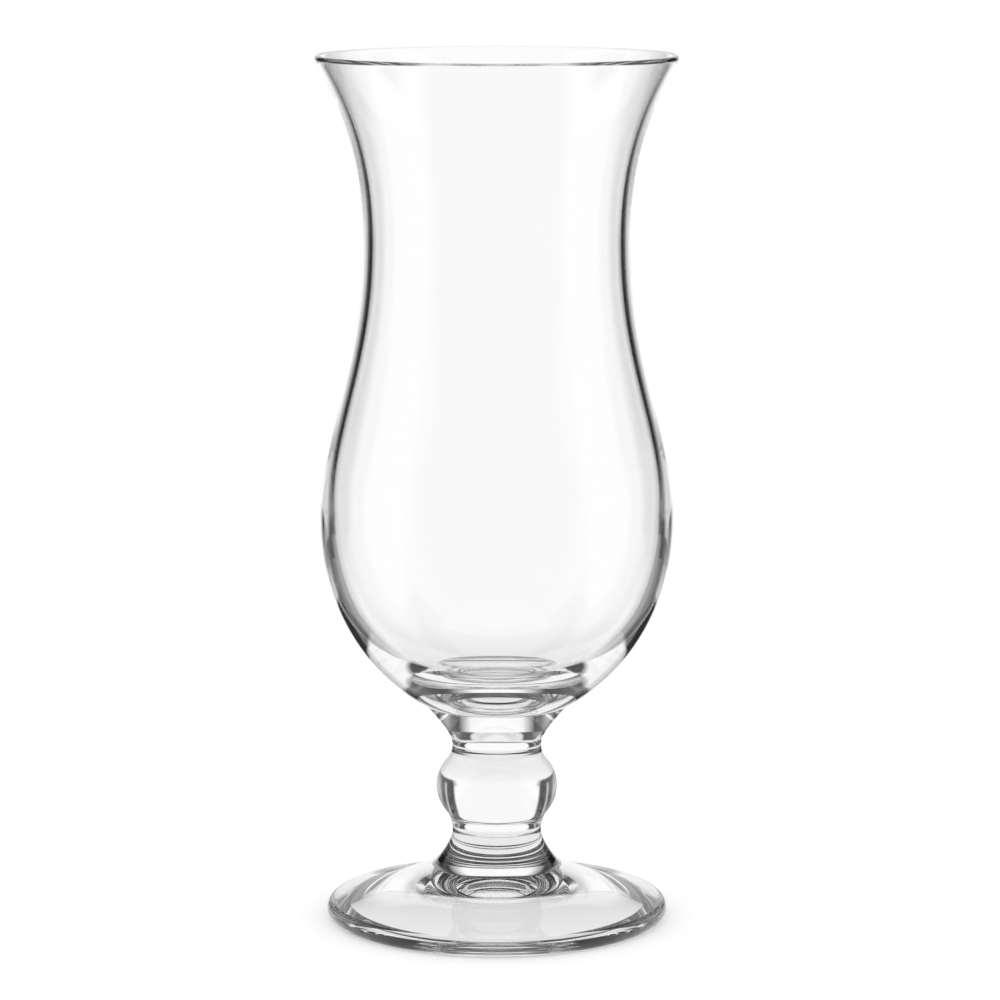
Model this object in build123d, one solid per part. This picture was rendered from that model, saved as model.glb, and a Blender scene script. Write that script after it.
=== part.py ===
"""A hurricane glass: a blown bowl on a knopped stem and a round foot, each worked hot and welded to the next.

Millimetres, +Z up. The origin is at the middle of the ring that the foot stands on.
Every piece is turned about the Z axis, and neighbours meet on flat weld discs.
"""
from build123d import *
from math import cos, radians, sin
import os

# Foot: a round disc that rises to the pillar, with a rounded edge and a domed hollow underneath
FOOT_RADIUS = 40.75
FOOT_EDGE_RADIUS = 2.2
FOOT_HEIGHT = 12.5
FOOT_TOP_SLOPE = 12.0
STANDING_RING_WIDTH = 4.0
HOLLOW_DEPTH = 8.0

# Pillar: the short column between the foot and the lower neck
PILLAR_HEIGHT = 8.7
PILLAR_BASE_RADIUS = 15.5
PILLAR_BASE_SLOPE = 24.0
LOWER_NECK_RADIUS = 10.6

# Knop: the solid ball, whose side is one arc that eases into both necks
KNOP_RADIUS = 14.45
KNOP_ARC_RADIUS = 9.6
KNOP_BELOW = 10.8
KNOP_ABOVE = 9.7
UPPER_NECK_RADIUS = 10.65

# Collar: the funnel that carries the bowl
COLLAR_HEIGHT = 10.0
COLLAR_TOP_RADIUS = 17.0
COLLAR_TOP_SLOPE = 50.0

# Bowl: heights go up from the collar to the bulge, from there to the waist, and from there to the rim
BULGE_RISE = 45.0
BULGE_RADIUS = 41.76
WAIST_RISE = 65.5
WAIST_RADIUS = 31.27
RIM_RISE = 43.8
RIM_RADIUS = 42.5
BOWL_BASE_SLOPE = 29.0
RIM_FLARE = 30.0
RIM_WALL = 1.6
WAIST_WALL = 2.15
BULGE_WALL = 2.85
FLOOR_THICKNESS = 4.5
INNER_BULGE_LIFT = 3.0

# How far each curve holds its end direction, as a share of that curve's own height
COLLAR_EASE = (0.65, 0.27)
PILLAR_EASE = (0.06, 0.42)
FOOT_EASE = (0.33, 0.33)
LOWER_BOWL_EASE = (0.33, 0.50)
UPPER_BOWL_EASE = (0.285, 0.434)
FLARE_EASE = (0.375, 0.366)
INNER_FLOOR_EASE = (0.58, 0.62)

# Heights of the weld discs and of the bowl's three widths
pillar_base = FOOT_HEIGHT
lower_neck = pillar_base + PILLAR_HEIGHT
knop_middle = lower_neck + KNOP_BELOW
upper_neck = knop_middle + KNOP_ABOVE
bowl_base = upper_neck + COLLAR_HEIGHT
bulge = bowl_base + BULGE_RISE
waist = bulge + WAIST_RISE
rim = waist + RIM_RISE


def at(radius, height):
    """A point of the half section."""
    return Vector(radius, 0, height)


def heading(slope):
    """Unit direction in the half section that climbs outwards by so many degrees."""
    return Vector(cos(radians(slope)), 0, sin(radians(slope)))


def leaning(tilt):
    """Unit direction in the half section that leans outwards from upright by so many degrees."""
    return Vector(sin(radians(tilt)), 0, cos(radians(tilt)))


UP = Vector(0, 0, 1)
OUT = Vector(1, 0, 0)


def eased(start, start_heading, end, end_heading, span, ease):
    """A smooth curve that leaves start and reaches end along the given headings."""
    leaving = start + start_heading * (span * ease[0])
    arriving = end - end_heading * (span * ease[1])
    return Bezier(start, leaving, arriving, end)


def turned(*outline):
    """The solid that a closed half section makes about the Z axis."""
    return revolve(make_face(list(outline)), Axis.Z)


def make_foot():
    """The disc: a cone that flattens towards a rounded edge, over a ring that it stands on."""
    edge_centre = at(FOOT_RADIUS - FOOT_EDGE_RADIUS, FOOT_EDGE_RADIUS)
    edge_top = edge_centre + leaning(FOOT_TOP_SLOPE) * FOOT_EDGE_RADIUS
    edge_side = edge_centre + OUT * FOOT_EDGE_RADIUS
    edge_bottom = edge_centre - UP * FOOT_EDGE_RADIUS
    weld = at(PILLAR_BASE_RADIUS, pillar_base)
    hollow_rim = at(edge_bottom.X - STANDING_RING_WIDTH, 0)
    hollow_top = at(0, HOLLOW_DEPTH)
    span = edge_top.X - weld.X
    hollow_reach = hollow_rim.X / 2
    return turned(
        Line(at(0, pillar_base), weld),
        eased(weld, heading(-PILLAR_BASE_SLOPE), edge_top, heading(-FOOT_TOP_SLOPE), span, FOOT_EASE),
        ThreePointArc(edge_top, edge_side, edge_bottom),
        Line(edge_bottom, hollow_rim),
        Bezier(hollow_rim, hollow_top + OUT * hollow_reach, hollow_top),
        Line(hollow_top, at(0, pillar_base)),
    )


def make_pillar():
    """The column, which opens out below the lower neck and runs on into the foot's slope."""
    weld = at(PILLAR_BASE_RADIUS, pillar_base)
    neck = at(LOWER_NECK_RADIUS, lower_neck)
    return turned(
        Line(at(0, pillar_base), weld),
        eased(weld, -heading(-PILLAR_BASE_SLOPE), neck, UP, PILLAR_HEIGHT, PILLAR_EASE),
        Line(neck, at(0, lower_neck)),
        Line(at(0, lower_neck), at(0, pillar_base)),
    )


def neck_arc(neck_radius, neck_height, arc_centre):
    """Where the hollow arc that starts upright at a neck touches the knop's arc, and its middle point."""
    across = neck_radius - arc_centre.X
    along = neck_height - arc_centre.Z
    spare = across**2 + along**2 - KNOP_ARC_RADIUS**2
    hollow_radius = spare / (2 * (KNOP_ARC_RADIUS - across))
    hollow_centre = at(neck_radius + hollow_radius, neck_height)
    towards_knop = (arc_centre - hollow_centre).normalized()
    touch = hollow_centre + towards_knop * hollow_radius
    middle = hollow_centre + (towards_knop - OUT).normalized() * hollow_radius
    return touch, middle


def make_knop():
    """The ball between the two necks."""
    low = at(LOWER_NECK_RADIUS, lower_neck)
    high = at(UPPER_NECK_RADIUS, upper_neck)
    arc_centre = at(KNOP_RADIUS - KNOP_ARC_RADIUS, knop_middle)
    low_touch, low_middle = neck_arc(LOWER_NECK_RADIUS, lower_neck, arc_centre)
    high_touch, high_middle = neck_arc(UPPER_NECK_RADIUS, upper_neck, arc_centre)
    return turned(
        Line(at(0, lower_neck), low),
        ThreePointArc(low, low_middle, low_touch),
        ThreePointArc(low_touch, at(KNOP_RADIUS, knop_middle), high_touch),
        ThreePointArc(high_touch, high_middle, high),
        Line(high, at(0, upper_neck)),
        Line(at(0, upper_neck), at(0, lower_neck)),
    )


def make_collar():
    """The funnel, from the upper neck out to the seam under the bowl."""
    neck = at(UPPER_NECK_RADIUS, upper_neck)
    seam = at(COLLAR_TOP_RADIUS, bowl_base)
    ease = (COLLAR_EASE[1], COLLAR_EASE[0])
    return turned(
        Line(at(0, upper_neck), neck),
        eased(neck, UP, seam, heading(COLLAR_TOP_SLOPE), COLLAR_HEIGHT, ease),
        Line(seam, at(0, bowl_base)),
        Line(at(0, bowl_base), at(0, upper_neck)),
    )


def make_bowl():
    """The vessel: full below, drawn in at the waist and flared to a fire-polished rim."""
    flare = leaning(RIM_FLARE)
    across_wall = Vector(flare.Z, 0, -flare.X)
    rim_centre = at(RIM_RADIUS - RIM_WALL / 2, rim - RIM_WALL / 2)
    rim_outside = rim_centre + across_wall * (RIM_WALL / 2)
    rim_inside = rim_centre - across_wall * (RIM_WALL / 2)
    rim_tip = rim_centre + flare * (RIM_WALL / 2)

    seam = at(COLLAR_TOP_RADIUS, bowl_base)
    outer_bulge = at(BULGE_RADIUS, bulge)
    outer_waist = at(WAIST_RADIUS, waist)
    inner_bulge = at(BULGE_RADIUS - BULGE_WALL, bulge + INNER_BULGE_LIFT)
    inner_waist = at(WAIST_RADIUS - WAIST_WALL, waist)
    floor = at(0, bowl_base + FLOOR_THICKNESS)
    inner_rise = inner_bulge.Z - floor.Z

    return turned(
        Line(at(0, bowl_base), seam),
        eased(seam, heading(BOWL_BASE_SLOPE), outer_bulge, UP, BULGE_RISE, LOWER_BOWL_EASE),
        eased(outer_bulge, UP, outer_waist, UP, WAIST_RISE, UPPER_BOWL_EASE),
        eased(outer_waist, UP, rim_outside, flare, RIM_RISE, FLARE_EASE),
        ThreePointArc(rim_outside, rim_tip, rim_inside),
        eased(rim_inside, -flare, inner_waist, -UP, RIM_RISE, (FLARE_EASE[1], FLARE_EASE[0])),
        eased(inner_waist, -UP, inner_bulge, -UP, WAIST_RISE, (UPPER_BOWL_EASE[1], UPPER_BOWL_EASE[0])),
        eased(inner_bulge, -UP, floor, -OUT, inner_rise, (INNER_FLOOR_EASE[1], INNER_FLOOR_EASE[0])),
        Line(floor, at(0, bowl_base)),
    )


pieces = {
    "foot": make_foot(),
    "pillar": make_pillar(),
    "knop": make_knop(),
    "collar": make_collar(),
    "bowl": make_bowl(),
}

os.makedirs("parts", exist_ok=True)
for name, piece in pieces.items():
    export_step(piece, f"parts/{name}.step")
    print(name, "volume", round(piece.volume / 1000, 2), "ml")
print("height", round(rim, 2), "mm")
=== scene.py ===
# %% [markdown]
# A hurricane glass is a tall drinking glass: a bowl that is full below, drawn in at the waist and flared
# at the rim, on a short stem with a solid ball, called a knop, and a round foot. All of it is clear glass.
# So its looks come from smooth surfaces, from true wall thicknesses, and from a studio whose light and
# dark panels show in it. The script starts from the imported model, which is the frame that every piece fits.

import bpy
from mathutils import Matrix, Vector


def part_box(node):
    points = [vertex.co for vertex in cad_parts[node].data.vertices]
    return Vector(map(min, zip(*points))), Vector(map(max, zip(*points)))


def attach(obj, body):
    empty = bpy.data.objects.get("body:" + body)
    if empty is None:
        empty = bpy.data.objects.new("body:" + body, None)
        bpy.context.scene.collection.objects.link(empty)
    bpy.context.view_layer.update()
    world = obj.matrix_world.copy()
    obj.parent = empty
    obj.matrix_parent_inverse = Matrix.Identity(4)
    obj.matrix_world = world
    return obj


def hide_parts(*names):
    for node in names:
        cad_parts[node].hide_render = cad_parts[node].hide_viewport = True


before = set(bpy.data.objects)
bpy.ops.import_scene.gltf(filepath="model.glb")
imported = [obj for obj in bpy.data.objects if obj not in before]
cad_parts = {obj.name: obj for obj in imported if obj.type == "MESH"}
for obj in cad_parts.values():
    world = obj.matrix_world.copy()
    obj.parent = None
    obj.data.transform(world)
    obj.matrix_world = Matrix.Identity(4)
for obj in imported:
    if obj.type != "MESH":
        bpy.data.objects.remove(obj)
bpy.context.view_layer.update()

# %% [markdown]
# The photograph was taken from a little above the rim, through a long lens. The ellipses of the rim and
# of the foot give the camera's tilt and distance, and the height of the glass in pixels gives the lens.
# A camera can also be placed by eye, but a few numbers are easier to check and to change one at a time.
# The axis of the glass is a few pixels left of the middle, so the camera turns by that small angle.

# %% Camera
import bpy
from math import atan, pi, radians

PHOTO_WIDTH = 1000
FOCAL_PIXELS = 4122
AXIS_PIXEL = 496.75
CAMERA_DISTANCE = 0.965
CAMERA_HEIGHT = 0.2537
CAMERA_TILT = radians(9)

camera_turn = atan((PHOTO_WIDTH / 2 - AXIS_PIXEL) / FOCAL_PIXELS)
bpy.ops.object.camera_add(
    location=(0, -CAMERA_DISTANCE, CAMERA_HEIGHT),
    rotation=(pi / 2 - CAMERA_TILT, 0, -camera_turn),
)
camera = bpy.context.object
camera.name = "photo_camera"
camera.data.lens = FOCAL_PIXELS / PHOTO_WIDTH * camera.data.sensor_width
scene = bpy.context.scene
scene.camera = camera
print("lens:", round(camera.data.lens, 1), "mm")

# %% [markdown]
# Light enters a thick glass edge and is mirrored many times inside before it comes out again. A renderer
# that stops too soon leaves black patches there: at 32 bounces the rim and part of the collar went black.
# More samples do not help with that, but a higher limit on bounces does. Light between the table and the
# glass fades after a few bounces, so a low limit is enough for diffuse light.

# %% Render settings
MOST_BOUNCES = 128
FLOOR_BOUNCES = 12

scene.view_settings.view_transform = "Standard"
scene.cycles.max_bounces = MOST_BOUNCES
scene.cycles.glossy_bounces = MOST_BOUNCES
scene.cycles.transmission_bounces = MOST_BOUNCES
scene.cycles.diffuse_bounces = FLOOR_BOUNCES
print("bounces:", scene.cycles.max_bounces)

# %% [markdown]
# Clear glass has no colour of its own to light. Photographers stand it before a white backdrop and put
# dark cards, called flags, just outside the picture. The thick edges bend the view sideways, so they show
# the flags as dark outlines and the lit panels beyond them as bright lines, and the middle shows the
# backdrop. Cards could be made as meshes, but other views of the scene would then show them. Here they
# are painted on the world by direction. The nodes for that need a few helpers: sums, soft steps between
# two values, and blends of two colours or two shaders.

# %% Node helpers
def feed(tree, value, socket):
    """Links a node's output to a socket, or sets the socket to a plain number."""
    if isinstance(value, bpy.types.NodeSocket):
        tree.links.new(value, socket)
    elif socket.type == "RGBA":
        socket.default_value = (value, value, value, 1)
    else:
        socket.default_value = value


def math_node(tree, operation, *values):
    """A sum, product or comparison of one or two values."""
    node = tree.nodes.new("ShaderNodeMath")
    node.operation = operation
    for value, socket in zip(values, node.inputs):
        feed(tree, value, socket)
    return node.outputs["Value"]


def vector_node(tree, operation, *values):
    """A step of arithmetic on vectors."""
    node = tree.nodes.new("ShaderNodeVectorMath")
    node.operation = operation
    for value, socket in zip(values, node.inputs):
        feed(tree, value, socket)
    return node.outputs["Value" if operation in ("LENGTH", "DOT_PRODUCT") else "Vector"]


def opposite(tree, value):
    """One minus a value."""
    return math_node(tree, "SUBTRACT", 1.0, value)


def soft_step(tree, value, low, high):
    """Zero below low, one above high, and a soft change between."""
    node = tree.nodes.new("ShaderNodeMapRange")
    node.interpolation_type = "SMOOTHSTEP"
    feed(tree, low, node.inputs["From Min"])
    feed(tree, high, node.inputs["From Max"])
    feed(tree, value, node.inputs["Value"])
    return node.outputs["Result"]


def blend_colours(tree, share, first, second):
    """The first colour where the share is zero, the second where it is one."""
    node = tree.nodes.new("ShaderNodeMix")
    node.data_type = "RGBA"
    colours = [socket for socket in node.inputs if socket.type == "RGBA"]
    feed(tree, share, node.inputs["Factor"])
    feed(tree, first, colours[0])
    feed(tree, second, colours[1])
    return next(socket for socket in node.outputs if socket.type == "RGBA")


def mix_shaders(tree, share, first, second, output):
    """Mixes two shaders into a tree's output."""
    node = tree.nodes.new("ShaderNodeMixShader")
    feed(tree, share, node.inputs["Fac"])
    tree.links.new(first.outputs[0], node.inputs[1])
    tree.links.new(second.outputs[0], node.inputs[2])
    tree.links.new(node.outputs[0], output.inputs["Surface"])


print("node helpers: sums, soft steps and blends")

# %% [markdown]
# Light Path tells what a ray has met on its way from the camera. Glossy Depth counts how often it was
# mirrored, Transmission Depth how many glass surfaces it passed, and Diffuse Depth how often it met matt
# paint. A ray through a solid piece passes two surfaces, and a ray through both walls of the bowl four.
# These counts choose what a ray sees, which is how one scene can be a white room for the camera and a room
# with flags for the glass.

# %% Kinds of ray
SOLID_SURFACES = 2
WALL_SURFACES = 4


def counts(tree, path, kind, number):
    """One for a ray with a depth of this number or more, and zero for the others."""
    return math_node(tree, "GREATER_THAN", path.outputs[kind], number - 0.5)


def comes_from_glass(tree, path):
    """One for a ray that was last bent or mirrored by the glass and has not met the table."""
    by_glass = math_node(tree, "MAXIMUM", path.outputs["Is Glossy Ray"], path.outputs["Is Transmission Ray"])
    not_from_table = opposite(tree, counts(tree, path, "Diffuse Depth", 1))
    return math_node(tree, "MULTIPLY", by_glass, not_from_table)


print("surfaces passed:", SOLID_SURFACES, "in a solid piece,", WALL_SURFACES, "in the bowl")

# %% [markdown]
# The panels are lists of angles from the middle of the backdrop, which is straight behind the glass, each
# with its brightness. The backdrop is white, flags stand beside it, strip lights at right angles, and the
# room behind the camera is a little dimmer. Real cards have one place, but the photograph does not show it.
# So there is a list for each kind of ray, and each list was set by comparing the glass with the photograph:
# straight rays through the solid stem, rays that cross the bowl or were mirrored once, rays that were
# mirrored more often, and rays that only glance off the outside. The table has its own list for
# straight rays.

# %% Panels round the glass
FLAG_SHADE = 0.01
FAR_FLAG_SHADE = 0.40
STRIP_SHADE = 0.45
ROOM_SHADE = 0.67
DEEP_ROOM_SHADE = 0.04
STRAIGHT_PANELS = (
    (0, 1.0), (33, 1.0),
    (36, FLAG_SHADE), (45, FLAG_SHADE),
    (47, STRIP_SHADE), (49, STRIP_SHADE),
    (52, FLAG_SHADE), (60, FLAG_SHADE),
    (66, STRIP_SHADE), (116, STRIP_SHADE),
    (122, ROOM_SHADE), (180, ROOM_SHADE),
)
TABLE_PANELS = (
    (0, 1.0), (28, 1.0),
    (35, FLAG_SHADE), (60, FLAG_SHADE),
    (66, STRIP_SHADE), (116, STRIP_SHADE),
    (122, ROOM_SHADE), (180, ROOM_SHADE),
)
MIRRORED_PANELS = (
    (0, 1.0), (17, 1.0),
    (28, FLAG_SHADE), (36, FLAG_SHADE),
    (46, FAR_FLAG_SHADE), (60, FAR_FLAG_SHADE),
    (66, 1.0), (116, 1.0),
    (122, ROOM_SHADE), (180, ROOM_SHADE),
)
DEEP_PANELS = (
    (0, 1.0), (12, 1.0),
    (27, FLAG_SHADE), (60, FLAG_SHADE),
    (66, 1.0), (116, 1.0),
    (122, DEEP_ROOM_SHADE), (180, DEEP_ROOM_SHADE),
)
GLANCE_PANELS = (
    (0, 1.0), (15, 1.0),
    (24, FLAG_SHADE), (41, FLAG_SHADE),
    (47, ROOM_SHADE), (60, ROOM_SHADE),
    (66, 1.0), (116, 1.0),
    (122, ROOM_SHADE), (180, ROOM_SHADE),
)
print("panel stops for straight rays:", len(STRAIGHT_PANELS))

# %% [markdown]
# A colour ramp turns an angle into a brightness, with a stop for each end of a panel. Both sides of the
# backdrop are alike, so half a turn is enough, and an arccosine gives it. A photographer moves the cards
# for each view, so the angles are counted from the way the camera looks, which a Vector Transform node gives.

# %% Panel nodes
HALF_TURN = 180


def level_part(tree, direction):
    """A direction without its rise, at length one."""
    return vector_node(tree, "NORMALIZE", vector_node(tree, "MULTIPLY", direction, (1, 1, 0)))


def backdrop_heading(tree):
    """The level direction in which the camera looks."""
    forward = tree.nodes.new("ShaderNodeVectorTransform")
    forward.convert_from = "CAMERA"
    forward.convert_to = "WORLD"
    feed(tree, (0, 0, 1), forward.inputs["Vector"])
    return level_part(tree, forward.outputs["Vector"])


def panel_ramp(tree, swing, panels):
    """A colour ramp over half a turn, with a stop for each end of a panel."""
    ramp = tree.nodes.new("ShaderNodeValToRGB")
    stops = ramp.color_ramp.elements
    while len(stops) < len(panels):
        stops.new(0.5)
    for stop, (angle, shade) in zip(stops, panels):
        stop.position = angle / HALF_TURN
        stop.color = (shade, shade, shade, 1)
    feed(tree, swing, ramp.inputs["Fac"])
    return ramp.outputs["Color"]


def panel_light(tree, place, path, straight_panels):
    """The light of the panels at a place or in a direction, as a ray with this path sees it."""
    cosine = vector_node(tree, "DOT_PRODUCT", level_part(tree, place), backdrop_heading(tree))
    swing = math_node(tree, "DIVIDE", math_node(tree, "ARCCOSINE", cosine), pi)
    through_walls = counts(tree, path, "Transmission Depth", WALL_SURFACES)
    once = math_node(tree, "MAXIMUM", counts(tree, path, "Glossy Depth", 1), through_walls)
    deep = counts(tree, path, "Glossy Depth", 2)
    glanced = opposite(tree, counts(tree, path, "Transmission Depth", 1))
    light = panel_ramp(tree, swing, straight_panels)
    for share, panels in ((once, MIRRORED_PANELS), (deep, DEEP_PANELS), (glanced, GLANCE_PANELS)):
        light = blend_colours(tree, share, light, panel_ramp(tree, swing, panels))
    return light


print("panel nodes: a colour ramp for each kind of ray")

# %% [markdown]
# The world holds the room: the panels, a dark ceiling above them and a white softbox overhead, towards the
# camera. The ceiling gives the dark ring lines on the stem and the foot, which look up at it, and the softbox
# the bright window on the collar. The bowl would show the near half of the ceiling as an arch under its rim,
# which the photograph has not, so only rays that were mirrored more than once see that half, and rays that
# only glance off the outside see no ceiling. Heights and depths here are parts of a direction of length one.

# %% World: the room
CEILING_SHADE = 0.05
CEILING_START = 0.50
CEILING_FULL = 0.58
CEILING_FRONT = -0.15
CEILING_BACK = 0.05
SOFTBOX_START = 0.84
SOFTBOX_FULL = 0.90
SOFTBOX_EDGE = 0.20
SOFTBOX_BACK = 0.28

world = bpy.data.worlds.new("studio")
world.use_nodes = True
scene.world = world
tree = world.node_tree
tree.nodes.clear()
room = tree.nodes.new("ShaderNodeBackground")
path = tree.nodes.new("ShaderNodeLightPath")
direction = tree.nodes.new("ShaderNodeTexCoord").outputs["Generated"]
height = vector_node(tree, "DOT_PRODUCT", direction, (0, 0, 1))
ahead = vector_node(tree, "DOT_PRODUCT", direction, backdrop_heading(tree))

light = panel_light(tree, direction, path, STRAIGHT_PANELS)
deep = counts(tree, path, "Glossy Depth", 2)
overhead = math_node(tree, "MAXIMUM", deep, soft_step(tree, ahead, CEILING_FRONT, CEILING_BACK))
ceiling = math_node(tree, "MULTIPLY", overhead, soft_step(tree, height, CEILING_START, CEILING_FULL))
ceiling = math_node(tree, "MULTIPLY", ceiling, counts(tree, path, "Transmission Depth", 1))
light = blend_colours(tree, ceiling, light, CEILING_SHADE)
in_front = opposite(tree, soft_step(tree, ahead, SOFTBOX_EDGE, SOFTBOX_BACK))
softbox = math_node(tree, "MULTIPLY", in_front, soft_step(tree, height, SOFTBOX_START, SOFTBOX_FULL))
light = blend_colours(tree, softbox, light, 1.0)
feed(tree, light, room.inputs["Color"])
print("nodes of the room:", len(tree.nodes))

# %% [markdown]
# The camera must see plain white, and the table must be lit by plain white, so only rays that come from the
# glass see the room. Most of them see it down to just under the horizon. Those that were mirrored see it
# further down, because many of them leave the thick edges at steep angles.

# %% World: who sees the room
PANEL_FOOT = -0.14
PANEL_FULL = -0.09
MIRRORED_FOOT = -0.60
MIRRORED_FULL = -0.50

white = tree.nodes.new("ShaderNodeBackground")
feed(tree, 1.0, white.inputs["Color"])
mirrored = counts(tree, path, "Glossy Depth", 1)
mirrored_share = math_node(tree, "MULTIPLY", mirrored, soft_step(tree, height, MIRRORED_FOOT, MIRRORED_FULL))
share = math_node(tree, "MAXIMUM", mirrored_share, soft_step(tree, height, PANEL_FOOT, PANEL_FULL))
share = math_node(tree, "MULTIPLY", comes_from_glass(tree, path), share)
mix_shaders(tree, share, white, room, tree.nodes.new("ShaderNodeOutputWorld"))
print("world nodes:", len(tree.nodes))

# %% [markdown]
# The table is a white disc, small enough that the world is its backdrop. To the camera it is white paint that
# takes the soft shadow of the foot, with a little light of its own for all that reaches it from round about.
# It lies a tenth of a millimetre under the foot, so that the two surfaces do not share a place.

# %% Table
TABLE_RADIUS = 0.37
TABLE_SIDES = 128
TABLE_GAP = 0.0001
TABLE_LIFT = 0.12

bpy.ops.object.select_all(action="DESELECT")
bpy.ops.mesh.primitive_circle_add(
    vertices=TABLE_SIDES, radius=TABLE_RADIUS, fill_type="NGON", location=(0, 0, -TABLE_GAP))
table = bpy.context.object
table.name = "table"

table_look = bpy.data.materials.new("white_table")
table_look.use_nodes = True
table.data.materials.append(table_look)
tree = table_look.node_tree
tree.nodes.clear()
path = tree.nodes.new("ShaderNodeLightPath")
paint = tree.nodes.new("ShaderNodeBsdfDiffuse")
feed(tree, 1.0, paint.inputs["Color"])
lift = tree.nodes.new("ShaderNodeEmission")
feed(tree, 1.0, lift.inputs["Color"])
feed(tree, math_node(tree, "MULTIPLY", path.outputs["Is Camera Ray"], TABLE_LIFT), lift.inputs["Strength"])
lit_paint = tree.nodes.new("ShaderNodeAddShader")
tree.links.new(paint.outputs[0], lit_paint.inputs[0])
tree.links.new(lift.outputs[0], lit_paint.inputs[1])
print("table radius:", TABLE_RADIUS, "m")

# %% [markdown]
# Through the glass the table is not lit but glows with painted light and shade. It is light grey near the
# foot, a painted shadow of the foot, and fades to white further out, so that its rim does not show in the
# bowl.
# Rays that were mirrored more than once see it painted dark, which gives the dark lines in the edge of the
# foot.
# Further out it also carries the foot of the flags as painted shade, so that the dark sides of the stem do
# not break off where a bent ray meets the table instead of the world.

# %% Table through the glass
# Painted shadow of the foot on the table, and painted shade for rays mirrored inside the glass.
FOOT_SHADOW_SHADE = 0.80
OPEN_SHADE = 0.84
UNDER_END = 0.01
OPEN_START = 0.045
FADE_START = 0.05
FADE_END = 0.22
MIRRORED_SHADE = 0.85
DEEP_TABLE_SHADE = 0.02
STRAIGHT_START = 0.16
STRAIGHT_FULL = 0.22
MIRRORED_START = 0.045
MIRRORED_END = 0.10

place = tree.nodes.new("ShaderNodeTexCoord").outputs["Object"]
reach = vector_node(tree, "LENGTH", place)
mirrored = counts(tree, path, "Glossy Depth", 1)
deep = counts(tree, path, "Glossy Depth", 2)
straight = math_node(tree, "COMPARE", path.outputs["Transmission Depth"], SOLID_SURFACES)

shade = blend_colours(tree, soft_step(tree, reach, UNDER_END, OPEN_START), FOOT_SHADOW_SHADE, OPEN_SHADE)
shade = blend_colours(tree, soft_step(tree, reach, FADE_START, FADE_END), shade, 1.0)
shade = blend_colours(tree, mirrored, shade, MIRRORED_SHADE)
shade = blend_colours(tree, deep, shade, DEEP_TABLE_SHADE)
mirrored_share = math_node(tree, "MULTIPLY", mirrored, soft_step(tree, reach, MIRRORED_START, MIRRORED_END))
straight_share = math_node(tree, "MULTIPLY", straight, soft_step(tree, reach, STRAIGHT_START, STRAIGHT_FULL))
flag_share = math_node(tree, "MAXIMUM", mirrored_share, straight_share)
light = blend_colours(tree, flag_share, shade, panel_light(tree, place, path, TABLE_PANELS))

# For rays from the glass the table glows with this painted light and shade instead of being lit.
through_glass = tree.nodes.new("ShaderNodeEmission")
feed(tree, light, through_glass.inputs["Color"])
output = tree.nodes.new("ShaderNodeOutputMaterial")
mix_shaders(tree, comes_from_glass(tree, path), lit_paint, through_glass, output)
print("table nodes:", len(tree.nodes))

# %% [markdown]
# The glass is soda-lime glass, clear and bright, with a bend of light of 1.52. A plain glass shader would
# do for a window pane. Glass that was blown and worked by hand is not quite even, so a slow noise gives it
# faint waves and a breath of tint, and a finer one gives the polish a slight change. The waves are a bump of
# a hundredth of a millimetre, because real ones would need far more faces.

# %% Clear glass
GLASS_BEND = 1.52
WAVE_LENGTH = 0.03
WAVE_HEIGHT = 0.00001
SMEAR_LENGTH = 0.006
SMEAR_ROUGHNESS = 0.003
TINT = (0.996, 0.997, 0.9965, 1)


def noise(tree, place, length):
    """A noise whose lumps are about so long."""
    node = tree.nodes.new("ShaderNodeTexNoise")
    feed(tree, 1 / length, node.inputs["Scale"])
    tree.links.new(place, node.inputs["Vector"])
    return node.outputs["Fac"]


glass = bpy.data.materials.new("clear_glass")
glass.use_nodes = True
tree = glass.node_tree
shader = tree.nodes["Principled BSDF"]
feed(tree, 1.0, shader.inputs["Transmission Weight"])
feed(tree, GLASS_BEND, shader.inputs["IOR"])
place = tree.nodes.new("ShaderNodeTexCoord").outputs["Object"]
waves = noise(tree, place, WAVE_LENGTH)
bump = tree.nodes.new("ShaderNodeBump")
feed(tree, WAVE_HEIGHT, bump.inputs["Distance"])
feed(tree, waves, bump.inputs["Height"])
feed(tree, bump.outputs["Normal"], shader.inputs["Normal"])
smears = math_node(tree, "MULTIPLY", noise(tree, place, SMEAR_LENGTH), SMEAR_ROUGHNESS)
feed(tree, smears, shader.inputs["Roughness"])
tint = tree.nodes.new("ShaderNodeRGB").outputs["Color"]
tint.default_value = TINT
feed(tree, blend_colours(tree, waves, 1.0, tint), shader.inputs["Base Color"])
print("glass nodes:", len(tree.nodes))

# %% [markdown]
# The stem is welded hot, and a good weld leaves no surface inside the glass for light to meet. The pieces
# stay separate, as they were made, so their touching faces get a look of their own that lets every ray pass
# straight on. Those faces could also be deleted, but then the pieces would no longer be closed.

# %% Fused weld
weld_look = bpy.data.materials.new("fused_weld")
weld_look.use_nodes = True
tree = weld_look.node_tree
tree.nodes.clear()
output = tree.nodes.new("ShaderNodeOutputMaterial")
clear = tree.nodes.new("ShaderNodeBsdfTransparent")
tree.links.new(clear.outputs[0], output.inputs["Surface"])
print("weld look:", weld_look.name)

# %% [markdown]
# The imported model's own meshes have flat facets, and clear glass would show every one of them. So each
# piece is turned again, finer, from a half section drawn with Bezier curves, as a designer draws a glass.
# The frame gives the widths and the heights of the welds. The sizes below are those that a box cannot show.

# %% Sizes from the frame
from mathutils import Vector

MM = 0.001


def width_and_top(node):
    """A turned piece's largest radius and its top."""
    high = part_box(node)[1]
    return high.x, high.z


foot_radius, pillar_base = width_and_top("foot")
pillar_base_radius, lower_neck = width_and_top("pillar")
knop_radius, upper_neck = width_and_top("knop")
collar_top_radius, bowl_base = width_and_top("collar")
rim_radius, rim = width_and_top("bowl")
for name, size in (("foot radius", foot_radius), ("knop radius", knop_radius), ("rim height", rim)):
    print(name, round(size / MM, 2), "mm")

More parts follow.
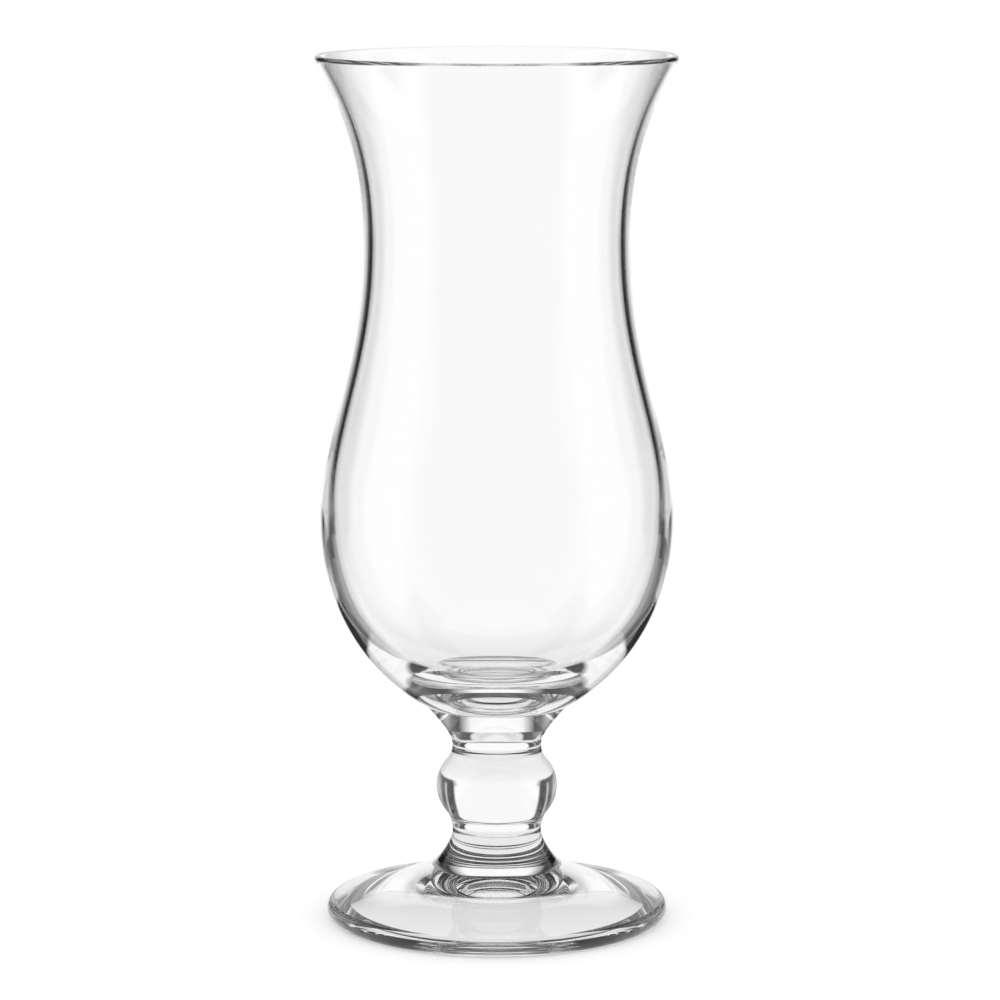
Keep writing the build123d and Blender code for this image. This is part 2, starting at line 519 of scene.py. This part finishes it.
# %% [markdown]
# A half section is a row of strokes. Each stroke is one Bezier piece: a start, two handles and an end. Three
# kinds are enough for this glass: straight lines, round arcs, and eased curves that leave one point and
# reach the next along given headings. The handles of an arc of up to 90 degrees follow a known formula,
# and the handles of an eased curve are a share of its own height.

# %% Strokes of a half section
from math import atan2, cos, degrees, sin, tan

UP = Vector((0, 0, 1))
OUT = Vector((1, 0, 0))


def at(radius, height):
    """A point of the half section."""
    return Vector((radius, 0, height))


def heading(slope):
    """Unit direction that climbs outwards by so many degrees."""
    return Vector((cos(radians(slope)), 0, sin(radians(slope))))


def slope_of(direction):
    """How many degrees a direction climbs outwards."""
    return degrees(atan2(direction.z, direction.x))


def line(start, end):
    """A straight stroke."""
    return start, start.lerp(end, 1 / 3), start.lerp(end, 2 / 3), end


def eased(start, start_heading, end, end_heading, span, ease):
    """A smooth stroke that leaves start and reaches end along the given headings."""
    return start, start + start_heading * span * ease[0], end - end_heading * span * ease[1], end


def arc(centre, radius, first, last):
    """A round stroke from one angle to another, in degrees, of at most 90 degrees."""
    handle = 4 / 3 * tan(radians(last - first) / 4) * radius
    start = centre + heading(first) * radius
    end = centre + heading(last) * radius
    return start, start + heading(first + 90) * handle, end - heading(last + 90) * handle, end


print("strokes: line, eased, arc")

# %% [markdown]
# Turning is what a lathe does, and Blender's spin does the same to a drawn section. The section starts as
# a Bezier curve, is converted to a mesh, and loses the points along its straight strokes, which need none.
# After the spin, the doubled points at the seam and on the axis are merged, so that the piece is closed, and
# the normals are set to point outwards, because the glass shader bends light by them. The screw modifier
# would give the same shape, but the spin leaves a plain mesh in one step.

# %% Lathe
TURN_STEPS = 224
STROKE_STEPS = 32
SHARPEST_SMOOTH = radians(20)
STRAIGHT_ENOUGH = radians(0.05)
MERGE_REACH = 0.001 * MM
WELD_REACH = 0.01 * MM
LEVEL_NORMAL = 0.99


def draw_section(name, strokes):
    """A mesh line along the strokes, drawn as one Bezier curve."""
    bpy.ops.object.select_all(action="DESELECT")
    bpy.ops.curve.primitive_bezier_curve_add(location=(0, 0, 0))
    section = bpy.context.object
    section.name = name
    section.data.resolution_u = STROKE_STEPS
    points = section.data.splines[0].bezier_points
    points.add(len(strokes) + 1 - len(points))
    for point in points:
        point.handle_left_type = "FREE"
        point.handle_right_type = "FREE"
    for stroke, first, last in zip(strokes, points[:-1], points[1:]):
        first.co, first.handle_right, last.handle_left, last.co = stroke
    bpy.ops.object.convert(target="MESH")
    return bpy.context.object


def turn(name, strokes):
    """A closed piece, turned about the Z axis from its half section."""
    piece = draw_section(name, strokes)
    bpy.ops.object.mode_set(mode="EDIT")
    bpy.ops.mesh.select_all(action="SELECT")
    bpy.ops.mesh.dissolve_limited(angle_limit=STRAIGHT_ENOUGH)
    bpy.ops.mesh.select_all(action="SELECT")
    bpy.ops.mesh.spin(steps=TURN_STEPS, angle=2 * pi, center=(0, 0, 0), axis=(0, 0, 1))
    bpy.ops.mesh.select_all(action="SELECT")
    bpy.ops.mesh.remove_doubles(threshold=MERGE_REACH)
    bpy.ops.mesh.select_all(action="SELECT")
    bpy.ops.mesh.normals_make_consistent(inside=False)
    bpy.ops.object.mode_set(mode="OBJECT")
    bpy.ops.object.shade_smooth_by_angle(angle=SHARPEST_SMOOTH)
    return piece


def finish_piece(piece, node, welds):
    """Gives a piece its glass and its welds, and puts it in the place of a CAD node."""
    piece.data.materials.append(glass)
    piece.data.materials.append(weld_look)
    for face in piece.data.polygons:
        level = abs(face.normal.z) > LEVEL_NORMAL
        if level and any(abs(face.center.z - weld) < WELD_REACH for weld in welds):
            face.material_index = 1
    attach(piece, "root")
    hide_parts(node)
    print(piece.name, "has", len(piece.data.polygons), "faces")


print("lathe:", TURN_STEPS, "steps to a turn,", STROKE_STEPS, "steps to a stroke")

# %% [markdown]
# The foot is a disc, pressed from a gather of hot glass. Its top falls away from the stem and flattens
# towards a rounded edge. It stands on a narrow ring, and inside the ring the underside is hollowed to a low
# dome, which shows as a dark lens through the top. A quadratic curve is enough for the dome: its one handle
# is level with the top, so the middle is smooth.

# %% Foot
FOOT_EDGE_RADIUS = 2.2 * MM
FOOT_TOP_SLOPE = 12.0
PILLAR_BASE_SLOPE = 24.0
STANDING_RING_WIDTH = 4.0 * MM
HOLLOW_DEPTH = 8.0 * MM
FOOT_EASE = (0.33, 0.33)


def foot_strokes():
    """The half section of the foot, from the weld out and down to the top of the hollow."""
    edge_centre = at(foot_radius - FOOT_EDGE_RADIUS, FOOT_EDGE_RADIUS)
    edge_top = edge_centre + heading(90 - FOOT_TOP_SLOPE) * FOOT_EDGE_RADIUS
    edge_bottom = edge_centre - UP * FOOT_EDGE_RADIUS
    weld = at(pillar_base_radius, pillar_base)
    ring_inside = at(edge_bottom.x - STANDING_RING_WIDTH, 0)
    hollow_top = at(0, HOLLOW_DEPTH)
    handle = hollow_top + OUT * (ring_inside.x / 2)
    hollow = ring_inside, ring_inside.lerp(handle, 2 / 3), hollow_top.lerp(handle, 2 / 3), hollow_top
    span = edge_top.x - weld.x
    return [
        line(at(0, pillar_base), weld),
        eased(weld, heading(-PILLAR_BASE_SLOPE), edge_top, heading(-FOOT_TOP_SLOPE), span, FOOT_EASE),
        arc(edge_centre, FOOT_EDGE_RADIUS, 90 - FOOT_TOP_SLOPE, 0),
        arc(edge_centre, FOOT_EDGE_RADIUS, 0, -90),
        line(edge_bottom, ring_inside),
        hollow,
    ]


finish_piece(turn("foot_glass", foot_strokes()), "foot", [pillar_base])

# %% [markdown]
# The pillar is the short column between the foot and the lower neck. It was drawn out of the same hot
# gather, so it opens out below in a fillet that runs on into the slope of the foot. One eased curve does it,
# upright at the neck and in line with the foot at the weld.

# %% Pillar
LOWER_NECK_RADIUS = 10.6 * MM
PILLAR_EASE = (0.06, 0.42)


def pillar_strokes():
    """The half section of the pillar, from the weld on the foot up to the lower neck."""
    weld = at(pillar_base_radius, pillar_base)
    neck = at(LOWER_NECK_RADIUS, lower_neck)
    span = lower_neck - pillar_base
    return [
        line(at(0, pillar_base), weld),
        eased(weld, -heading(-PILLAR_BASE_SLOPE), neck, UP, span, PILLAR_EASE),
        line(neck, at(0, lower_neck)),
    ]


finish_piece(turn("pillar_glass", pillar_strokes()), "pillar", [pillar_base, lower_neck])

# %% [markdown]
# The knop is the solid ball that the fingers rest on. Its side is one round arc, and a hollow arc eases it
# into each neck. A hollow arc starts upright at its neck and just touches the ball, and these two conditions
# give its radius, so nothing has to be fitted by eye. A sphere with two cylinders would leave hard corners.

# %% Knop
KNOP_ARC_RADIUS = 9.6 * MM
KNOP_BELOW = 10.8 * MM
UPPER_NECK_RADIUS = 10.65 * MM


def hollow_arc(neck, ball_centre):
    """Centre and radius of the arc from a neck to the ball, and the slope of the line to their touch."""
    across = neck.x - ball_centre.x
    along = neck.z - ball_centre.z
    radius = (across**2 + along**2 - KNOP_ARC_RADIUS**2) / (2 * (KNOP_ARC_RADIUS - across))
    centre = neck + OUT * radius
    return centre, radius, slope_of(centre - ball_centre)


def knop_strokes():
    """The half section of the knop, from the lower neck up to the upper neck."""
    low = at(LOWER_NECK_RADIUS, lower_neck)
    high = at(UPPER_NECK_RADIUS, upper_neck)
    ball_centre = at(knop_radius - KNOP_ARC_RADIUS, lower_neck + KNOP_BELOW)
    low_centre, low_radius, low_touch = hollow_arc(low, ball_centre)
    high_centre, high_radius, high_touch = hollow_arc(high, ball_centre)
    return [
        line(at(0, lower_neck), low),
        arc(low_centre, low_radius, 180, 180 + low_touch),
        arc(ball_centre, KNOP_ARC_RADIUS, low_touch, 0),
        arc(ball_centre, KNOP_ARC_RADIUS, 0, high_touch),
        arc(high_centre, high_radius, 180 + high_touch, 180),
        line(high, at(0, upper_neck)),
    ]


finish_piece(turn("knop_glass", knop_strokes()), "knop", [lower_neck, upper_neck])

# %% [markdown]
# The collar is the small funnel that carries the bowl. Where it meets the bowl the photograph shows a sharp
# bright line and two clear windows below it, as the mirror of an inner surface gives. So this one seam is
# not fused: the collar stops a fiftieth of a millimetre short, and both faces there stay glass.

# %% Collar
COLLAR_TOP_SLOPE = 50.0
COLLAR_EASE = (0.27, 0.65)
SEAM_GAP = 0.02 * MM


def collar_strokes():
    """The half section of the collar, from the upper neck up to the seam under the bowl."""
    neck = at(UPPER_NECK_RADIUS, upper_neck)
    seam = at(collar_top_radius, bowl_base - SEAM_GAP)
    span = bowl_base - upper_neck
    return [
        line(at(0, upper_neck), neck),
        eased(neck, UP, seam, heading(COLLAR_TOP_SLOPE), span, COLLAR_EASE),
        line(seam, at(0, seam.z)),
    ]


finish_piece(turn("collar_glass", collar_strokes()), "collar", [upper_neck])

# %% [markdown]
# The bowl is blown. Its outside runs from the seam round the full bulge, in to the waist and out to the rim.
# Its inside follows it at the thickness of the wall, thin at the rim and thicker lower down, and ends in a
# heavy floor. A solidify modifier gives one thickness everywhere, and the edges of the glass would then look
# wrong, so both sides are drawn. The rim was melted round in a flame, so it is half a circle in section.

# %% Bowl
BULGE_RISE = 45.0 * MM
BULGE_RADIUS = 41.76 * MM
WAIST_RISE = 65.5 * MM
WAIST_RADIUS = 31.27 * MM
BOWL_BASE_SLOPE = 29.0
RIM_FLARE = 30.0
RIM_WALL = 1.6 * MM
WAIST_WALL = 2.15 * MM
BULGE_WALL = 2.85 * MM
FLOOR_THICKNESS = 4.5 * MM
INNER_BULGE_LIFT = 3.0 * MM
LOWER_BOWL_EASE = (0.33, 0.50)
UPPER_BOWL_EASE = (0.285, 0.434)
FLARE_EASE = (0.375, 0.366)
INNER_FLOOR_EASE = (0.58, 0.62)


def outside_strokes(rim_outside, flare):
    """The outside of the bowl, from the seam up to the rim."""
    bulge = at(BULGE_RADIUS, bowl_base + BULGE_RISE)
    waist = at(WAIST_RADIUS, bulge.z + WAIST_RISE)
    seam = at(collar_top_radius, bowl_base)
    return [
        line(at(0, bowl_base), seam),
        eased(seam, heading(BOWL_BASE_SLOPE), bulge, UP, BULGE_RISE, LOWER_BOWL_EASE),
        eased(bulge, UP, waist, UP, WAIST_RISE, UPPER_BOWL_EASE),
        eased(waist, UP, rim_outside, flare, rim - waist.z, FLARE_EASE),
    ]


def inside_strokes(rim_inside, flare):
    """The inside of the bowl, from the rim down to the floor."""
    waist = at(WAIST_RADIUS - WAIST_WALL, bowl_base + BULGE_RISE + WAIST_RISE)
    bulge = at(BULGE_RADIUS - BULGE_WALL, bowl_base + BULGE_RISE + INNER_BULGE_LIFT)
    floor = at(0, bowl_base + FLOOR_THICKNESS)
    return [
        eased(rim_inside, -flare, waist, -UP, rim - waist.z, FLARE_EASE[::-1]),
        eased(waist, -UP, bulge, -UP, WAIST_RISE, UPPER_BOWL_EASE[::-1]),
        eased(bulge, -UP, floor, -OUT, bulge.z - floor.z, INNER_FLOOR_EASE[::-1]),
    ]


def bowl_strokes():
    """The half section of the bowl: outside, rim and inside."""
    flare = heading(90 - RIM_FLARE)
    bead = RIM_WALL / 2
    bead_centre = at(rim_radius - bead, rim - bead)
    bead_strokes = [
        arc(bead_centre, bead, -RIM_FLARE, 90 - RIM_FLARE),
        arc(bead_centre, bead, 90 - RIM_FLARE, 180 - RIM_FLARE),
    ]
    outside = outside_strokes(bead_strokes[0][0], flare)
    inside = inside_strokes(bead_strokes[-1][-1], flare)
    return outside + bead_strokes + inside


finish_piece(turn("bowl_glass", bowl_strokes()), "bowl", [])
